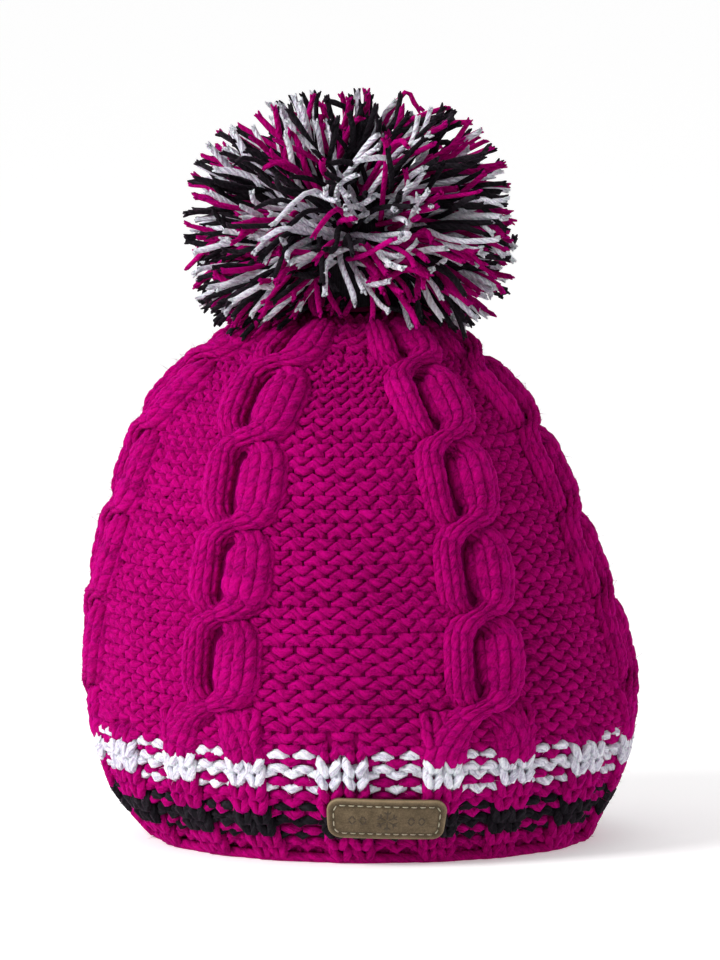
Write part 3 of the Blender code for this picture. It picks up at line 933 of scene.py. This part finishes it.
def build_pompom():
    """Clumps of cut strands in three yarns, round a bound core."""
    middle = np.array([TOP_LEAN * GROUND_WIDTH, 0, CROWN_HEIGHT + POMPOM_MIDDLE])
    clumps = sphere_directions(CLUMPS)
    clumps = clumps[clumps[:, 2] > LOWEST_CLUMP]
    clumps = unit(clumps + CLUMP_SPREAD * rng.normal(size=clumps.shape))
    leading = rng.choice(3, size=len(clumps), p=YARN_SHARES)
    clump = np.repeat(np.arange(len(clumps)), STRANDS_PER_CLUMP)
    count = len(clump)
    way = clumps[clump] + STRAND_SPREAD * rng.normal(size=(count, 3))
    way = unit(way * (1, FRONT_SHARE, 1))
    led = rng.random(count) < LEADING_SHARE
    yarn = np.where(led, leading[clump], rng.choice(3, size=count, p=YARN_SHARES))
    paths = strand_paths(middle, clump, way)
    radii = STRAND_RADIUS * (1 + STRAND_RADIUS_SPREAD * rng.normal(size=(count, 1)))
    radii = radii * np.append(np.ones(STRAND_STEPS - len(STRAND_ENDS)), STRAND_ENDS)
    hints = np.broadcast_to(unit(rng.normal(size=(count, 1, 3))), paths.shape)
    tone = TONE + STRAND_TONES * rng.normal(size=(count, 1))
    looks = (("black", BLACK), ("magenta", MAGENTA), ("white", WHITE))
    for i, (name, material) in enumerate(looks):
        mine = yarn == i
        bundle = Bundle()
        bundle.tubes(paths[mine], hints[mine], radii[mine], tone[mine], sides=STRAND_SIDES)
        add_frays(bundle, paths[mine], tone[mine])
        finish_piece(bundle.build(f"pompom_{name}"), material, f"yarn_{name}", "pompom")
    build_pompom_core(middle)


# Label


def on_label(along, up, proud):
    """A place on the label, measured from its middle."""
    centre = LABEL_PLACE * BRIM_HEIGHT
    radius = ground.at(centre, "radius")
    across = along * math.cos(LABEL_TILT) - up * math.sin(LABEL_TILT)
    length = centre + along * math.sin(LABEL_TILT) + up * math.cos(LABEL_TILT)
    return ground.place(LABEL_ANGLE + across / radius, length, proud)


def inside_label(along, up):
    """Distance from the label's edge, inwards."""
    x = np.abs(along) - (LABEL_LENGTH / 2 - LABEL_CORNER)
    y = np.abs(up) - (LABEL_HEIGHT / 2 - LABEL_CORNER)
    outside = np.hypot(np.maximum(x, 0), np.maximum(y, 0)) + np.minimum(np.maximum(x, y), 0)
    return LABEL_CORNER - outside


def build_label():
    """The leather, rounded at its rim and pressed in along the seam."""
    columns, rows = LABEL_COLUMNS, LABEL_ROWS
    along = -np.cos(np.linspace(0, np.pi, columns + 1)) * LABEL_LENGTH / 2
    past = np.maximum(0, np.abs(along) - (LABEL_LENGTH / 2 - LABEL_CORNER))
    half = LABEL_HEIGHT / 2 - LABEL_CORNER + np.sqrt(np.maximum(0, LABEL_CORNER**2 - past**2))
    share = -np.cos(np.linspace(0, np.pi, rows + 1))
    u = np.broadcast_to(along[:, None], (columns + 1, rows + 1))
    v = half[:, None] * share
    inside = inside_label(u, v)
    worn = LABEL_ROUNDING - np.clip(inside, 0, LABEL_ROUNDING)
    top = LABEL_THICKNESS - LABEL_ROUNDING + np.sqrt(np.maximum(0, LABEL_ROUNDING**2 - worn**2))
    top = top - SEAM_GROOVE * np.exp(-(((inside - SEAM_INSET) / SEAM_GROOVE_WIDTH) ** 2))
    front = on_label(u, v, LABEL_BACK + top)
    back = on_label(u, v, LABEL_BACK + 0 * top)
    loop = np.concatenate([front, back[:, ::-1]], axis=1)
    around = loop.shape[1]
    i, k = np.meshgrid(np.arange(columns), np.arange(around), indexing="ij")
    a, b, beside = i * around, (i + 1) * around, (k + 1) % around
    faces = np.stack([a + k, b + k, b + beside, a + beside], -1).reshape(-1, 4)
    rim = np.exp(-((inside / RIM_WIDTH) ** 2))
    seam = np.exp(-(((inside - SEAM_INSET) / RIM_WIDTH) ** 2))
    shown = LABEL_TONE + RIM_TONE * rim - SEAM_TONE * seam
    tone = np.concatenate([shown, BACK_TONE + 0 * rim], axis=1)
    piece = mesh_object("label_leather", loop.reshape(-1, 3), faces, tone=tone.ravel())
    finish_piece(piece, LEATHER, "leather", "label")


def threads_on_label(bundle, starts, ends, radius, sink):
    """Short lengths laid on the label's face, whose ends go into it."""
    share = np.linspace(0, 1, 7)
    starts, ends = np.asarray(starts), np.asarray(ends)
    flat = starts[:, None] + (ends - starts)[:, None] * share[None, :, None]
    arch = np.sqrt(np.maximum(0, 1 - (2 * share - 1) ** 4))
    proud = LABEL_BACK + LABEL_THICKNESS - sink + radius * (arch - 1)
    paths = on_label(flat[..., 0], flat[..., 1], proud + 0 * flat[..., 0])
    hints = np.broadcast_to(ground.normal(LABEL_ANGLE, LABEL_PLACE * BRIM_HEIGHT), paths.shape)
    bundle.tubes(paths, hints, np.broadcast_to(radius * (0.55 + 0.45 * arch), paths.shape[:2]))


def build_seam():
    """Running stitches round the label, a little inside its edge."""
    corner = LABEL_CORNER - SEAM_INSET
    straight = np.array([LABEL_LENGTH / 2 - LABEL_CORNER, LABEL_HEIGHT / 2 - LABEL_CORNER])
    turn = np.linspace(0, np.pi / 2, 9)
    quarter = straight + corner * np.stack([np.cos(turn), np.sin(turn)], -1)
    turns = [quarter, quarter[::-1] * (-1, 1), quarter * (-1, -1), quarter[::-1] * (1, -1), quarter[:1]]
    line = np.concatenate(turns)
    run = np.concatenate([[0], np.cumsum(np.hypot(*np.diff(line, axis=0).T))])
    count = round(run[-1] / SEAM_PITCH)
    starts = (np.arange(count) + SEAM_START) * run[-1] / count
    ends = starts + SEAM_STITCH * run[-1] / count
    starts, ends = (np.stack([np.interp(at, run, c) for c in line.T], -1) for at in (starts, ends))
    bundle = Bundle()
    threads_on_label(bundle, starts, ends, SEAM_THREAD, SEAM_SINK)
    finish_piece(bundle.build("label_seam"), THREAD, "yarn_white", "label")


def build_stamp():
    """A plain snow star pressed into the leather between four diamonds."""
    starts, ends = [], []
    for i in range(6):
        turn = i * math.pi / 3
        way = np.array([math.sin(turn), math.cos(turn)])
        starts.append(0 * way)
        ends.append(STAMP_ARM * way)
        for lean in (-TWIG_TURN, TWIG_TURN):
            twig = np.array([math.sin(turn + lean), math.cos(turn + lean)])
            starts.append(TWIG_PLACE * STAMP_ARM * way)
            ends.append(TWIG_PLACE * STAMP_ARM * way + STAMP_TWIG * STAMP_ARM * twig)
    corners = np.array([(-1, 0), (0, 1), (1, 0), (0, -1)]) * DIAMOND_HALF
    for place in DIAMONDS:
        starts.extend(corners + (place, 0))
        ends.extend(np.roll(corners, -1, 0) + (place, 0))
    bundle = Bundle()
    threads_on_label(bundle, starts, ends, STAMP_LINE, STAMP_SINK)
    finish_piece(bundle.build("label_stamp"), STAMP, "leather", "label")


def build_knitting():
    """The whole fabric, and the loose fibres on it in each yarn's colour."""
    fuzz = {slot: Bundle() for slot in ("yarn_magenta", "yarn_black", "yarn_white")}
    build_brim(fuzz)
    build_crown(fuzz["yarn_magenta"])
    build_backing()
    for index in range(PITCHES):
        build_cable(index, fuzz["yarn_magenta"])
    finish_piece(fuzz["yarn_magenta"].build("fibres_magenta"), MAGENTA, "yarn_magenta", "crown")
    finish_piece(fuzz["yarn_black"].build("fibres_black"), BLACK, "yarn_black", "stripe_black")
    finish_piece(fuzz["yarn_white"].build("fibres_white"), WHITE, "yarn_white", "stripe_white")


build_knitting()
build_pompom()
build_label()
build_seam()
build_stamp()


# Camera, light and floor


def look_at(thing, target):
    way = Vector(target) - thing.location
    thing.rotation_euler = way.to_track_quat("-Z", "Y").to_euler()


def area_light(name, place, target, size, watts):
    data = bpy.data.lights.new(name, "AREA")
    data.shape = "DISK"
    data.size = size
    data.energy = watts
    light = bpy.data.objects.new(name, data)
    bpy.context.scene.collection.objects.link(light)
    light.location = place
    look_at(light, target)


def build_world():
    """A white studio, dimmer on the right and behind the camera."""
    world = bpy.data.worlds.new("studio")
    world.use_nodes = True
    tree = world.node_tree
    place = tree.nodes.new("ShaderNodeTexCoord")
    split = tree.nodes.new("ShaderNodeSeparateXYZ")
    tree.links.new(place.outputs["Generated"], split.inputs[0])
    background = tree.nodes["Background"]
    background.inputs["Color"].default_value = (1, 1, 1, 1)
    slopes = (
        # axis, direction where the change starts and ends, brightness at the start and the end
        (0, 0.9, -0.4, 0.0, 0.25),
        (1, -0.3, 0.6, 0.42, 0.80),
    )
    level = None
    for axis, low, high, least, most in slopes:
        share = tree.nodes.new("ShaderNodeMapRange")
        share.inputs["From Min"].default_value = low
        share.inputs["From Max"].default_value = high
        share.inputs["To Min"].default_value = least
        share.inputs["To Max"].default_value = most
        tree.links.new(split.outputs[axis], share.inputs["Value"])
        if level:
            total = tree.nodes.new("ShaderNodeMath")
            tree.links.new(level, total.inputs[0])
            tree.links.new(share.outputs[0], total.inputs[1])
            level = total.outputs[0]
        else:
            level = share.outputs[0]
    tree.links.new(level, background.inputs["Strength"])
    bpy.context.scene.world = world


def build_stage():
    """White floor, studio and one soft light from the upper left."""
    side = FLOOR_HALF
    corners = [(-side, -side, 0), (side, -side, 0), (side, side, 0), (-side, side, 0)]
    mesh = bpy.data.meshes.new("floor")
    mesh.from_pydata(corners, [], [(0, 1, 2, 3)])
    floor = bpy.data.objects.new("floor", mesh)
    bpy.context.scene.collection.objects.link(floor)
    s = Shading("floor")
    s.surface(Base_Color=(0.9, 0.9, 0.9, 1), Roughness=0.9)
    s.surface(Emission_Color=(1, 1, 1, 1), Emission_Strength=0.30)
    mesh.materials.append(s.material)
    build_world()
    area_light("key", (-0.95, -0.7, 0.85), LIGHT_TARGET, size=0.6, watts=17)


def build_camera():
    """Near enough to a view without perspective, a little from above."""
    data = bpy.data.cameras.new("camera")
    camera = bpy.data.objects.new("camera", data)
    bpy.context.scene.collection.objects.link(camera)
    back = Vector((0, -math.cos(CAMERA_ELEVATION), math.sin(CAMERA_ELEVATION)))
    camera.location = Vector(CAMERA_TARGET) + CAMERA_DISTANCE * back
    look_at(camera, CAMERA_TARGET)
    data.sensor_width = SENSOR_MM
    data.lens = CAMERA_DISTANCE * SENSOR_MM / (IMAGE_ROWS * ROW_METRES)
    bpy.context.scene.camera = camera


build_stage()
build_camera()
bpy.context.scene.view_settings.view_transform = "Standard"
